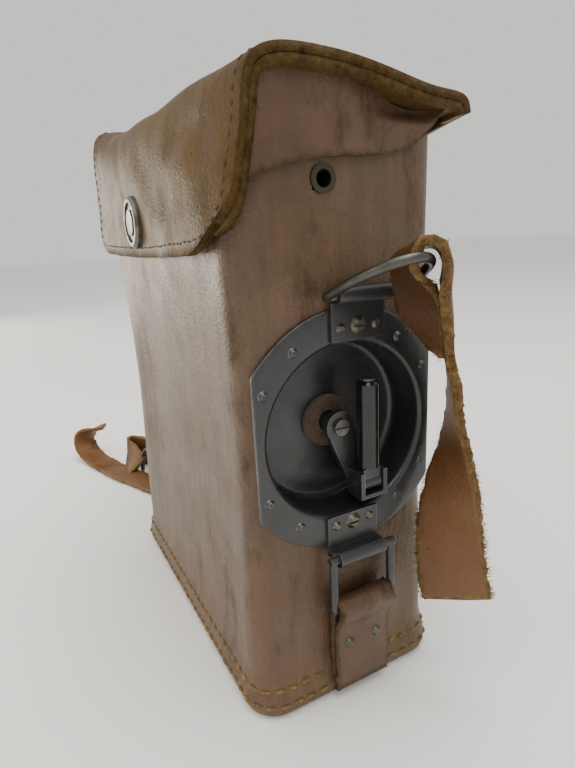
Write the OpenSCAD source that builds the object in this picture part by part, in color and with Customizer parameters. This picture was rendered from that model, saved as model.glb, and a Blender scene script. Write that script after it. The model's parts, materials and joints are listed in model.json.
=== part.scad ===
// Leather-cased field telephone with a folding crank on its side.
// Origin: centre of the underside. +X points out of the crank side, -Y out of the buttoned front, +Z up.

/* [Case] */
// Outer width of the leather case, crank side to strap side
case_w = 181; // [176:1:186]
// Outer depth of the leather case, front to back
case_d = 91; // [89:1:94]
// Height of the case walls above the floor
wall_h = 232; // [228:1:236]
// Thickness of the case leather
hide_t = 3; // [2.4:0.2:3.4]
// Outside radius of the upright corners
corner_r = 12; // [9:1:16]
// Height of the sewn base strip
base_h = 9; // [7:1:12]

/* [Cover] */
// Lowest point of the cover's front drop
cover_low = 190; // [184:1:198]
// Highest point of the cover, over the front ridge
cover_top = 256; // [250:1:258]
// Gap between the case front and the cover's front drop
cover_gap = 3.5; // [3.2:0.1:4.5]
// How far the cover's edges stand out past the case at each end
cover_side = 6; // [5:0.5:8]
// Thickness of the cover leather
cover_t = 3; // [2.4:0.2:3.4]

/* [Crank] */
// Height of the crank shaft above the floor
crank_z = 122; // [119:1:125]
// Inside radius of the round well
well_r = 35.4; // [35:0.1:35.8]
// Depth of the well below its flange
well_depth = 18; // [17.5:0.1:18.5]
// Distance from the shaft to the end of the crank arm
arm_len = 21; // [20:0.5:21.5]
// Lean of the folded arm away from straight down, in degrees
arm_lean = 17; // [14:1:19]
// Length of the turning grip
grip_len = 36; // [30:1:38]

/* [Straps] */
// Width of the carrying strap
strap_w = 28; // [26:0.5:30]
// Thickness of the carrying strap
strap_t = 3; // [2.6:0.2:3.4]
// Lift of the crank-side ring above level, in degrees
ring_lift = 24; // [18:1:28]

/* [Hidden] */
$fn = 48;

half_w = case_w / 2;
half_d = case_d / 2;
leather = "saddlebrown";
iron = "#2b2d30";
hinge_y = half_d + 1.8;                 // cover hinge, just outside the back wall
hinge_z = wall_h + 0.2;
flange_t = 1.6;
seam = 0.05;
flange_x = half_w + flange_t;           // outer face of the well flange
flange_half = 40.3;
flange_r = 49.1;
rivet_ring_r = 42.1;
rivet_angles = [30.1, 55.8];
floor_x = flange_x - well_depth;        // inner face of the well floor
floor_t = 1.5;
boss_len = 5;
shaft_r = 4;
run_gap = 0.05;                         // radial running clearance
arm_x = flange_x - 9.2;                 // inner face of the crank arm
arm_t = 3;
pin_x = arm_x + arm_t + 5.4;            // fold pin
pin_y = 9.5;
pin_z = crank_z - 24;
grip_r = 4.6;
grip_start = 7;                         // pin to the near end of the grip
clip_y = [4, 0];                        // upper and lower clip centres
clip_w = 24;
bar_x = flange_x + 5;                   // hinge bars of the rings and links
upper_bar_z = 176;
lower_bar_z = 70.5;
wire_r = 1.75;
link_y = 2;
link_w = 32;
link_low = 47;
ring_len = 32;
gear_teeth = 36;
pinion_teeth = 12;
gear_module = 1;
armature_z = crank_z - gear_module * (gear_teeth + pinion_teeth) / 2;
gear_x = 61;
gear_t = 4;
deck_z = 160;
post_x = [62, 76];
ringer_x = -42;
ringer_z = 56;

// ---- shared shapes ----

module rounded_plan(w, d, r) {
  square([w - 2 * r, d], center = true);
  square([w, d - 2 * r], center = true);
  for (sx = [-1, 1], sy = [-1, 1]) translate([sx * (w / 2 - r), sy * (d / 2 - r)]) circle(r);
}

// A solid of a 2D shape drawn in (y, z), from x0 to x1
module along_x(x0, x1) {
  translate([x0, 0, 0]) rotate([90, 0, 90]) linear_extrude(x1 - x0) children();
}

module rod_x(r, x0, x1, y, z) {
  translate([x0, y, z]) rotate([0, 90, 0]) cylinder(r = r, h = x1 - x0);
}

module rod_y(r, y0, y1, x, z) {
  translate([x, y0, z]) rotate([-90, 0, 0]) cylinder(r = r, h = y1 - y0);
}

// A round-headed fastener lying on a face whose outward normal is +X
module dome_head(r, h, x, y, z) {
  translate([x, y, z]) rotate([0, 90, 0]) cylinder(r1 = r, r2 = r * 0.55, h = h);
}

module mirrored(side) {
  if (side > 0) children();
  else mirror([1, 0, 0]) children();
}

// A flat band swept along points. Each section's width lies along its own vector, and leans with the path
function level(a) = [cos(a), sin(a), 0];
function unit(v) = v / norm(v);
function tangent(p, i) = unit(p[min(i + 1, len(p) - 1)] - p[max(i - 1, 0)]);
function across(p, v, i) = let (t = tangent(p, i)) unit(v[i] - (v[i] * t) * t);
function band_ring(p, v, w, t, i) =
  let (u = across(p, v, i), n = cross(tangent(p, i), u))
  [p[i] + u * w / 2 + n * t / 2, p[i] - u * w / 2 + n * t / 2,
   p[i] - u * w / 2 - n * t / 2, p[i] + u * w / 2 - n * t / 2];
module band(p, v, w, t) {
  n = len(p);
  polyhedron(
    points = [for (i = [0 : n - 1]) each band_ring(p, v, w, t, i)],
    faces = concat(
      [[3, 2, 1, 0], [for (k = [0 : 3]) 4 * (n - 1) + k]],
      [for (i = [0 : n - 2], k = [0 : 3]) let (j = (k + 1) % 4)
        each [[4 * i + k, 4 * i + j, 4 * i + 4 + j], [4 * i + k, 4 * i + 4 + j, 4 * i + 4 + k]]]));
}

// ---- leather case ----

// The wall leather as four panels that meet at fine seams beside the corners
module wall_plan(lo, hi) intersection() {
  difference() {
    rounded_plan(case_w, case_d, corner_r);
    rounded_plan(case_w - 2 * hide_t, case_d - 2 * hide_t, corner_r - hide_t);
  }
  translate([lo, -case_d]) square([hi - lo, 2 * case_d]);
}

module case_shell() color(leather) {
  seam_x = half_w - corner_r;
  translate([0, 0, hide_t + 1]) linear_extrude(wall_h - hide_t - 1) {
    wall_plan(-seam_x + seam / 2, seam_x - seam / 2);
    wall_plan(-half_w, -seam_x - seam / 2);
  }
  difference() {
    translate([0, 0, hide_t + 1]) linear_extrude(wall_h - hide_t - 1) wall_plan(seam_x + seam / 2, half_w);
    rod_x(well_r + 1.5, half_w - 8, half_w + 5, 0, crank_z);
    rod_x(4, half_w - 8, half_w + 5, -8, 215.5);
    for (a = [15:30:165]) translate([half_w - 10, 0, crank_z]) rotate([a, 0, 0])
      cube([40, 2 * wall_h, seam], center = true);
  }
}

module case_base() color(leather) linear_extrude(hide_t + 1) rounded_plan(case_w, case_d, corner_r);

module base_strip() color(leather) difference() {
  linear_extrude(base_h) rounded_plan(case_w + 5, case_d + 5, corner_r + 2.5);
  translate([0, 0, -1]) linear_extrude(base_h + 2) rounded_plan(case_w, case_d, corner_r);
  for (side = [-1, 1]) translate([side * (half_w + 2), link_y, base_h / 2])
    cube([6, strap_w + 1, base_h + 2], center = true);
}

// ---- crank well ----

module flange_outline(y0 = 0, z0 = 0) intersection() {
  translate([y0, z0]) circle(flange_r, $fn = 96);
  translate([y0, z0]) square([2 * flange_half, 3 * flange_r], center = true);
}

module crank_well() color(iron) difference() {
  union() {
    along_x(half_w, flange_x) flange_outline(0, crank_z);
    rod_x(well_r + 1.2, floor_x - floor_t, flange_x - 0.1, 0, crank_z);
    rod_x(8, floor_x - floor_t - boss_len, floor_x - floor_t + 0.1, 0, crank_z);
  }
  rod_x(well_r, floor_x, flange_x + 1, 0, crank_z);
  rod_x(shaft_r + run_gap, floor_x - floor_t - boss_len - 1, flange_x, 0, crank_z);
}

module well_rivets() color(iron)
  for (sy = [-1, 1], sz = [-1, 1], a = rivet_angles)
    dome_head(2, 1.1, flange_x, sy * rivet_ring_r * cos(a), crank_z + sz * rivet_ring_r * sin(a));

module felt_washer() color("sienna") difference() {
  rod_x(11, floor_x, floor_x + 2.2, 0, crank_z);
  rod_x(shaft_r + 0.4, floor_x - 1, floor_x + 4, 0, crank_z);
}

// ---- crank, fold-over handle ----

module crank_shaft() color(iron) {
  rod_x(shaft_r, 52, arm_x, 0, crank_z);
}

module crank_arm() color(iron)
  along_x(arm_x, arm_x + arm_t) {
    translate([0, crank_z]) circle(6.5);
    translate([0, crank_z]) rotate(arm_lean) {
      translate([0, -arm_len]) circle(4.6);
      polygon([[-6.4, 0], [-4.5, -arm_len], [4.5, -arm_len], [6.4, 0]]);
    }
  }

module handle_bracket() color(iron) difference() {
  translate([arm_x + arm_t, pin_y - 6.4, pin_z - 5.8]) cube([9.6, 12.8, 11.4]);
  translate([arm_x + arm_t + 1.4, pin_y - 4.6, pin_z - 4.2]) cube([12, 9.2, 12]);
  rod_y(1.25, pin_y - 8, pin_y + 8, pin_x, pin_z);
}

module handle_pin() color("silver") rod_y(1.25, pin_y - 6.4, pin_y + 6.4, pin_x, pin_z);

module handle_spindle() color(iron) difference() {
  union() {
    rod_y(3.4, pin_y - 4.1, pin_y + 4.1, pin_x, pin_z);
    translate([pin_x - 2.6, pin_y - 4.1, pin_z]) cube([5.2, 8.2, grip_start - 0.6]);
    translate([pin_x, pin_y, pin_z + grip_start - 0.7]) cylinder(r = 2, h = grip_len + 1.5);
    translate([pin_x, pin_y, pin_z + grip_start + grip_len + 0.3]) cylinder(r = 3, h = 0.9);
  }
  rod_y(1.25 + run_gap, pin_y - 6, pin_y + 6, pin_x, pin_z);
}

module handle_grip() color("#17181a") translate([pin_x, pin_y, pin_z + grip_start]) difference() {
  union() {
    cylinder(r = grip_r, h = grip_len - 1);
    translate([0, 0, grip_len - 1]) cylinder(r1 = grip_r, r2 = grip_r - 1, h = 1);
  }
  translate([0, 0, -1]) cylinder(r = 2 + run_gap, h = grip_len + 3);
}

// ---- generator ----

module toothed_wheel(teeth, turn) {
  pitch_r = gear_module * teeth / 2;
  circle(pitch_r - 1.1 * gear_module, $fn = 60);
  for (k = [0 : teeth - 1]) rotate(turn + 360 * k / teeth)
    polygon([[pitch_r - 1.4, -0.8], [pitch_r + 0.75, -0.35], [pitch_r + 0.75, 0.35], [pitch_r - 1.4, 0.8]]);
}

module arm_screw() color("silver") difference() {
  rod_x(3.4, arm_x + arm_t, arm_x + arm_t + 1.4, 0, crank_z);
  translate([arm_x + arm_t + 0.7, -4, crank_z - 0.5]) cube([2, 8, 1]);
}

module drive_gear() color("goldenrod") difference() {
  along_x(gear_x, gear_x + gear_t) translate([0, crank_z]) toothed_wheel(gear_teeth, -90);
  rod_x(shaft_r, gear_x - 1, gear_x + gear_t + 1, 0, crank_z);
}

module pinion() color("silver") difference() {
  along_x(gear_x, gear_x + gear_t) translate([0, armature_z]) toothed_wheel(pinion_teeth, 90 + 180 / pinion_teeth);
  rod_x(2.5, gear_x - 1, gear_x + gear_t + 1, 0, armature_z);
}

module armature() color("peru") {
  rod_x(2.5, 2, gear_x + gear_t, 0, armature_z);
  rod_x(10.5, 10, 50, 0, armature_z);
}

module generator_frame() color("silver") difference() {
  union() {
    for (x = [3.5, 54]) translate([x, -26, 7]) cube([2.8, 52, crank_z + 10 - 7]);
    translate([3.5, -26, 6]) cube([53.3, 52, 1.2]);
  }
  rod_x(shaft_r + run_gap, 53, 58, 0, crank_z);
  for (x = [3, 53]) rod_x(2.5 + run_gap, x, x + 5, 0, armature_z);
}

module generator_magnets() color("dimgray")
  for (x = [6.3, 22.2, 38.1]) along_x(x, x + 15.9) difference() {
    translate([-24, armature_z - 14]) square([48, 62]);
    translate([-11.2, armature_z - 15]) square([22.4, 49]);
    translate([-13, armature_z + 14]) square([26, 20]);
  }

// ---- ringer ----

module ringer_bracket() color("silver") {
  translate([ringer_x - 34, 8, 6]) cube([68, 22, 2]);
  translate([ringer_x - 34, 28, 8]) cube([68, 2, ringer_z + 4]);
}

module ringer_coils() color("darkred")
  for (s = [-1, 1]) {
    translate([ringer_x + s * 13, 18, 8]) cylinder(r = 8, h = 26);
    translate([ringer_x + s * 13, 18, 34]) cylinder(r = 3.5, h = 3);
  }

module gongs() color("gold")
  for (s = [-1, 1]) translate([ringer_x + s * 22, 28, ringer_z]) rotate([90, 0, 0]) {
    cylinder(r = 3, h = 24);
    translate([0, 0, 24]) rotate_extrude() polygon([
      [0, 0], [3, 0], [10, -2], [15, -7], [16.6, -12], [17, -12], [17, -11], [15.6, -6], [10.4, -0.8], [4, 1.4], [0, 1.4]]);
  }

module clapper() color("silver") {
  rod_y(2.4, 9, 27.5, ringer_x, 41);
  translate([ringer_x - 0.9, 8, 40]) cube([1.8, 1.8, ringer_z - 40]);
  translate([ringer_x, 8.9, ringer_z]) sphere(2.6);
}

// ---- batteries, coil, capacitor ----

battery_r = 16.6;
battery_x0 = -82;
battery_y = 20.4;
battery_z = 112;

module battery_tray() color("silver") {
  translate([battery_x0 - 1.6, -38.5, battery_z - battery_r - 1.2]) cube([61.7, 77, 1.6]);
  for (x = [battery_x0 - 1.6, battery_x0 + 58.5])
    translate([x, -38.5, battery_z - battery_r - 1.2]) cube([1.6, 77, 34]);
  for (x = [battery_x0 + 10, battery_x0 + 50])
    translate([x, 0, battery_z - battery_r]) cylinder(r = 2.5, h = deck_z - battery_z + battery_r);
}

module batteries() color("steelblue")
  for (s = [-1, 1]) {
    rod_x(battery_r - 0.4, battery_x0, battery_x0 + 56.5, s * battery_y, battery_z);
    rod_x(4.5, battery_x0 + 56.5, battery_x0 + 58.5, s * battery_y, battery_z);
  }

module induction_coil() color("darkolivegreen") {
  rod_x(9, -82, -44, -28, 24);
  for (x = [-84, -44]) translate([x, -39, 6]) cube([2, 22, 29]);
}

module capacitor() color("lightslategray") translate([-36, -40, 6]) cube([32, 22, 34]);

// ---- frame that lifts out of the leather ----

module chassis() color("silver") {
  translate([0, 0, hide_t + 1]) linear_extrude(2) rounded_plan(172, 82, 8);
  translate([-76, 39.4, 5]) cube([152, 1.6, deck_z - 5]);
  translate([-86, -32, 5]) cube([1.2, 64, deck_z - 5]);
}

module deck_panel() color("#202224") difference() {
  union() {
    translate([0, 0, deck_z]) linear_extrude(2.4) rounded_plan(172, 82, 8);
    for (x = post_x) translate([x, -34, deck_z]) cylinder(r = 5, h = 9.4);
  }
  for (x = post_x) translate([x, -34, deck_z - 1]) cylinder(r = 3 + run_gap, h = 12);
  translate([-70, -34, deck_z - 1]) cylinder(r = 4 + run_gap, h = 5);
}

module line_post(x) color("goldenrod") translate([x, -34, 0]) {
  translate([0, 0, deck_z - 6]) cylinder(r = 3, h = 18);
  translate([0, 0, deck_z + 12]) cylinder(r = 4.6, h = 4);
}

module line_post_front() line_post(post_x[0]);
module line_post_rear() line_post(post_x[1]);

module mode_switch() color("goldenrod") translate([-70, -34, 0]) difference() {
  union() {
    translate([0, 0, deck_z - 6]) cylinder(r = 4, h = 9);
    translate([0, 0, deck_z + 2.6]) cylinder(r = 6, h = 2.6);
  }
  translate([-6.5, -0.7, deck_z + 4]) cube([13, 1.4, 3]);
}

// ---- handset ----

module handset_handle() color("#1b1c1e") translate([0, 0, deck_z + 2.4]) difference() {
  union() {
    translate([-66, -11, 34]) cube([132, 22, 17]);
    for (x = [-54, 54]) translate([x, 0, 24]) cylinder(r = 21, h = 12);
  }
  translate([-16, -12, 37]) cube([32, 4.2, 11]);
}

module receiver() color("#1b1c1e") translate([-54, 0, deck_z + 2.4]) {
  translate([0, 0, 6]) cylinder(r1 = 23, r2 = 25, h = 5);
  translate([0, 0, 11]) cylinder(r = 25, h = 13);
}

module transmitter() color("#1b1c1e") translate([54, 0, deck_z + 2.4]) {
  cylinder(r1 = 17, r2 = 23, h = 9);
  translate([0, 0, 9]) cylinder(r = 24.5, h = 15);
}

module talk_bar() color("#1b1c1e") translate([-15.5, -14, deck_z + 39.9]) cube([31, 5, 10]);

// ---- strap hardware, drawn on the crank side and mirrored to the other ----

module upper_clip() color(iron) difference() {
  union() {
    translate([flange_x, clip_y[0] - clip_w / 2, 158.5]) cube([1.4, clip_w, upper_bar_z - 158.5]);
    rod_y(wire_r + 1.5, clip_y[0] - clip_w / 2, clip_y[0] + clip_w / 2, bar_x, upper_bar_z);
    translate([flange_x, clip_y[0] - clip_w / 2, upper_bar_z - 3.2]) cube([5, clip_w, 1.4]);
  }
  rod_y(wire_r + run_gap, -30, 40, bar_x, upper_bar_z);
}

module lower_clip() color(iron) difference() {
  barrel_y = [link_y - link_w / 2 + 2 * wire_r + 0.4, clip_w / 2];
  union() {
    translate([flange_x, -clip_w / 2, lower_bar_z]) cube([1.4, clip_w, 17]);
    rod_y(wire_r + 1.5, barrel_y[0], barrel_y[1], bar_x, lower_bar_z);
    translate([flange_x, -clip_w / 2, lower_bar_z + 1.8]) cube([5, clip_w, 1.4]);
  }
  rod_y(wire_r + run_gap, -30, 40, bar_x, lower_bar_z);
}

module clip_fasteners() color("gray") {
  x = flange_x + 1.4;
  for (dy = [-8, 8]) {
    dome_head(1.9, 1.1, x, clip_y[0] + dy, 163.5);
    dome_head(1.9, 1.1, x, dy, 83.5);
  }
  for (dy = [-7, 7]) dome_head(2.4, 1.3, flange_x + 4.8, link_y + dy, 28);
  for (p = [[clip_y[0], 164], [0, 83.5]]) difference() {
    dome_head(3.4, 1.6, x, p[0], p[1]);
    translate([x + 0.8, p[0] - 4, p[1] - 0.5]) cube([2, 8, 1]);
  }
}

// A bent wire loop in a plane through the hinge bar; s runs out from the bar
module wire_run(points) for (i = [0 : len(points) - 2]) hull() {
  translate(points[i]) sphere(wire_r, $fn = 16);
  translate(points[i + 1]) sphere(wire_r, $fn = 16);
}

module link() color(iron) {
  y0 = link_y - link_w / 2 + wire_r;
  y1 = link_y + link_w / 2 - wire_r;
  rod_y(wire_r, y0 - wire_r, y1 + wire_r, bar_x, lower_bar_z);
  rod_y(wire_r, y0 - wire_r, y1 + wire_r, bar_x, link_low);
  for (y = [y0, y1]) translate([bar_x, y, link_low]) cylinder(r = wire_r, h = lower_bar_z - link_low);
}

module tab() color(leather) difference() {
  union() {
    translate([half_w, link_y - strap_w / 2, 0.5]) cube([flange_x - half_w + 2, strap_w, link_low - 4]);
    rod_y(wire_r + 2.6, link_y - strap_w / 2 + 2.6, link_y + strap_w / 2 - 2.6, bar_x, link_low);
    translate([flange_x + 2, link_y - strap_w / 2 + 0.5, 10]) cube([2.8, strap_w - 1, link_low - 12]);
  }
  rod_y(wire_r, -40, 40, bar_x, link_low);
}

module upper_clip_right() upper_clip();
module lower_clip_right() lower_clip();
module clip_fasteners_right() clip_fasteners();
module link_right() link();
module tab_right() tab();
module upper_clip_left() mirrored(-1) upper_clip();
module lower_clip_left() mirrored(-1) lower_clip();
module clip_fasteners_left() mirrored(-1) clip_fasteners();
module link_left() mirrored(-1) link();
module tab_left() mirrored(-1) tab();

module left_plate() color(iron) mirrored(-1) {
  translate([half_w, -14, 154]) cube([flange_t, 36, 20]);
  translate([half_w, -14, 72]) cube([flange_t, 30, 18]);
}

module cord_eyelet() color("gray") difference() {
  union() {
    rod_x(4, half_w - hide_t - 0.6, half_w, -8, 215.5);
    rod_x(5, half_w, half_w + 0.8, -8, 215.5);
    rod_x(5, half_w - hide_t - 0.6, half_w - hide_t, -8, 215.5);
  }
  rod_x(3, half_w - 8, half_w + 5, -8, 215.5);
}

module snap_stud() color("silver") translate([0, -half_d, 206]) rotate([90, 0, 0]) {
  cylinder(r = 6, h = 0.8);
  translate([0, 0, 0.7]) cylinder(r = 3, h = 1);
  translate([0, 0, 1.6]) cylinder(r1 = 3.6, r2 = 3.2, h = 0.9);
}

// ---- cover ----

cover_front = -half_d - cover_gap - cover_t;

module cover_outline(inset) hull() {
  translate([cover_front + 21, cover_top - 21]) circle(21 - inset);
  translate([half_d - 4.7, wall_h + 6]) circle(8 - inset);
  translate([cover_front + inset, cover_low]) square([1, 1]);
  translate([half_d + 2.3 - inset, hinge_z + 0.2]) square([1, 1]);
}

module cover_shape() difference() {
  cover_outline(0);
  cover_outline(cover_t);
  translate([cover_front + cover_t, 100]) square([half_d + 3.3 - cover_front - cover_t, hinge_z + 0.2 - 100]);
}

module cover_leather() color(leather) intersection() {
  along_x(-half_w - cover_side, half_w + cover_side) cover_shape();
  translate([0, 100, 0]) rotate([90, 0, 0]) linear_extrude(200)
    translate([0, cover_low + 70]) rounded_plan(case_w + 2 * cover_side, 140, 24);
}

module welt_shape() intersection() {
  difference() {
    cover_outline(cover_t + 0.05);
    cover_outline(cover_t + 2.6);
  }
  polygon([[-60, 212], [-40, 212], [-30, 238], [34, 236], [38, 239], [44, 270], [-60, 270]]);
}

module cover_welts() color(leather)
  for (s = [-1, 1]) mirrored(s) along_x(half_w + 3.6, half_w + cover_side - 0.2) welt_shape();

module gusset() color(leather) along_x(half_w + 1, half_w + 3.5) intersection() {
  cover_outline(cover_t + 0.05);
  polygon([[-60, 213], [-42, 213.5], [-32, 217], [-22, 219.8], [-10, 221.8], [10, 222.8], [28, 226], [36, 234],
    [44, 240], [44, 270], [-60, 270]]);
}

module gusset_right() gusset();
module gusset_left() mirrored(-1) gusset();

module snap_button() color("silver") translate([0, cover_front, 206]) rotate([90, 0, 0]) difference() {
  union() {
    cylinder(r = 11.5, h = 1.6);
    translate([0, 0, 1.6]) cylinder(r1 = 11.5, r2 = 10.2, h = 1.2);
  }
  translate([0, 0, 1.8]) difference() {
    cylinder(r = 8.8, h = 3);
    cylinder(r = 5.6, h = 3);
  }
}

// ---- rings and straps ----

// D ring drawn flat: straight bar along Y at s = 0, arc bulging out along +s
ring_half = 16;
function ring_point(t) = [ring_len * sin(t) - 0.0, ring_half * cos(t)];
module d_ring(side) color("slategray") mirrored(side)
  translate([bar_x, clip_y[0], upper_bar_z]) rotate([0, side > 0 ? -ring_lift : 78, 0]) {
    rod_y(wire_r, -ring_half, ring_half, 0, 0);
    wire_run([for (t = [0 : 15 : 180]) [ring_len * sin(t), ring_half * cos(t), 0]]);
  }

module ring_right() d_ring(1);
module ring_left() d_ring(-1);

// Crank-side strap: a short inner end, a loop over the ring's rear wire, then the long outer end,
// which twists a quarter turn on its way down
strap_path = [
  [110.5, 19, 153], [110.4, 14.6, 164], [112.6, 10.4, 176], [113.9, 9.2, 187], [115.2, 11.4, 194],
  [117.4, 14.8, 196.4], [119.4, 18, 193.8], [120.2, 20, 187], [118.4, 22.8, 178], [115.6, 26.6, 167],
  [112.6, 30.8, 155], [109.8, 36.6, 140], [108.2, 40.2, 124], [108.4, 39.6, 108], [109.6, 37.8, 92], [111, 36, 76],
  [112.4, 36.2, 60], [113.6, 39, 44]];
strap_turn = [-40, -36, -34, -33, -33, -33, -33, -33, -36, -40, -44, -45, -44, -26, 0, 24, 38, 42];

module strap_right() color("peru") band(strap_path, [for (a = strap_turn) level(a)], strap_w - 8, strap_t);

// Far-side strap: down from its ring to just above the ground
drop_path = [
  [-104, 4, 141.5], [-104.5, 4, 120], [-106, 3, 95], [-109, 0, 70], [-115, -3, 50], [-121, -5, 36]];
drop_turn = [90, 90, 88, 84, 78, 74];

module strap_left() color("peru") band(drop_path, [for (a = drop_turn) level(a)], strap_w - 2, strap_t);

// The same strap further on: standing on its edge and folded back on itself
fold_path = [
  [-128, -4, 17.6], [-150, -7, 17.6], [-175, -9.5, 17.6], [-197, -15, 17.6], [-209, -21.5, 17.6], [-215, -27, 17.6],
  [-215.6, -31.4, 17.6], [-211, -34, 17.6], [-204, -33.2, 17.6]];

module strap_fold() color("peru") band(fold_path, [for (q = fold_path) [0, 0, 1]], strap_w - 2, strap_t);

// Its end, lying out along the ground with a curled tip
tail_path = [
  [-146, -21.5, 2], [-160, -28, 2], [-178, -36, 2], [-195, -43.7, 2], [-222, -52.5, 2.2], [-242, -59, 4],
  [-256, -63.5, 10], [-262, -63, 19], [-262, -55, 25], [-259, -45, 27.5]];
tail_turn = [-66, -66, -67, -68, -70, -72, -76, -74, -60, -50];

module strap_tail() color("peru") band(tail_path, [for (a = tail_turn) level(a)], strap_w - 8, strap_t);

// Loose wire loop standing on the ground between them
hook_path = [
  [-196, -26, wire_r], [-193.5, -25.8, 10], [-187, -25.5, 19.5], [-178, -25, 26], [-166, -24.5, 30.5],
  [-152, -24, 32], [-140, -23.5, 27], [-135, -23.3, 15], [-134.5, -23.2, wire_r]];

module strap_hook() color("#1b1c1e") wire_run(hook_path);

case_shell();
case_base();
base_strip();
crank_well();
well_rivets();
felt_washer();
upper_clip_right();
lower_clip_right();
clip_fasteners_right();
link_right();
tab_right();
cord_eyelet();
snap_stud();
left_plate();
upper_clip_left();
lower_clip_left();
clip_fasteners_left();
link_left();
tab_left();
chassis();
deck_panel();
generator_frame();
generator_magnets();
ringer_coils();
ringer_bracket();
gongs();
battery_tray();
batteries();
induction_coil();
capacitor();
handset_handle();
receiver();
transmitter();
crank_shaft();
crank_arm();
arm_screw();
drive_gear();
handle_bracket();
handle_pin();
handle_spindle();
handle_grip();
armature();
pinion();
clapper();
line_post_front();
line_post_rear();
mode_switch();
talk_bar();
cover_leather();
cover_welts();
gusset_right();
gusset_left();
snap_button();
ring_right();
strap_right();
ring_left();
strap_left();
strap_fold();
strap_tail();
strap_hook();
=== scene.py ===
"""Leather-cased field telephone: looks for the CAD frame.
"""
import json
import math
import bpy
import numpy as np
from mathutils import Matrix, Vector


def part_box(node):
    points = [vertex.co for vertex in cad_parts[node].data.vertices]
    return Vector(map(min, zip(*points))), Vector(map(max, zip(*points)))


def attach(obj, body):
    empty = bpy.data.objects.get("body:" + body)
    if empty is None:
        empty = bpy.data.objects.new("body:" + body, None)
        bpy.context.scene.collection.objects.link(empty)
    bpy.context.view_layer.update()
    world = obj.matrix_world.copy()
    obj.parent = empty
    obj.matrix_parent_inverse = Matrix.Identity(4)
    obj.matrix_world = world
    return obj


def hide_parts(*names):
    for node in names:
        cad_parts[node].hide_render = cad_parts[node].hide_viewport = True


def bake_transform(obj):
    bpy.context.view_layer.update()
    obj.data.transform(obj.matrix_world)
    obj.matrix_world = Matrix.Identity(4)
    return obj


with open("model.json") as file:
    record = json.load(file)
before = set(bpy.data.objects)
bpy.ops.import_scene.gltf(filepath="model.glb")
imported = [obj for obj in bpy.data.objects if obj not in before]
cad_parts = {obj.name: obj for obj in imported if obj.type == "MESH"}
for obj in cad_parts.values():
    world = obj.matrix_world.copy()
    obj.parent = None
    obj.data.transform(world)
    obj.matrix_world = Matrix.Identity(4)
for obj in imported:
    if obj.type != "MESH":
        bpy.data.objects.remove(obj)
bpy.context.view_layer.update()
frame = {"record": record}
MM = 0.001


def span(node):
    """A CAD node's lowest and highest corners, in millimetres."""
    low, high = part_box(node)
    return np.array(low) / MM, np.array(high) / MM


# ---------------------------------------------------------------- places taken from the frame
HALF_W, HALF_D, WALL_TOP = span("case_shell")[1]
STRIP_TOP = span("base_strip")[1][2]
WELL_LOW, WELL_HIGH = span("crank_well")
FLANGE_FACE = span("well_rivets")[0][0]
FLANGE_T = FLANGE_FACE - HALF_W
CRANK_Z = (WELL_LOW[2] + WELL_HIGH[2]) / 2
FLANGE_R = (WELL_HIGH[2] - WELL_LOW[2]) / 2
FLANGE_FLAT = WELL_HIGH[1]
WELL_FLOOR = span("felt_washer")[0][0]
EYELET = (span("cord_eyelet")[0] + span("cord_eyelet")[1]) / 2
COVER_X = span("cover_leather")[1][0]
DECK_TOP = span("transmitter")[0][2]
LINK_LOW, LINK_HIGH = span("link_right")
TAB_LOW, TAB_HIGH = span("tab_right")
WIRE_R = (LINK_HIGH[0] - LINK_LOW[0]) / 2
BAR_X = (LINK_LOW[0] + LINK_HIGH[0]) / 2
RING = span("ring_right")
CORNER_R = 12  # the case's upright corners
WELL_R = 35.4  # inside the round well
EYELET_HOLE_R = 4.1
SHAFT_HOLE_R = 4.1  # in the well's floor, for the crank shaft


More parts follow.
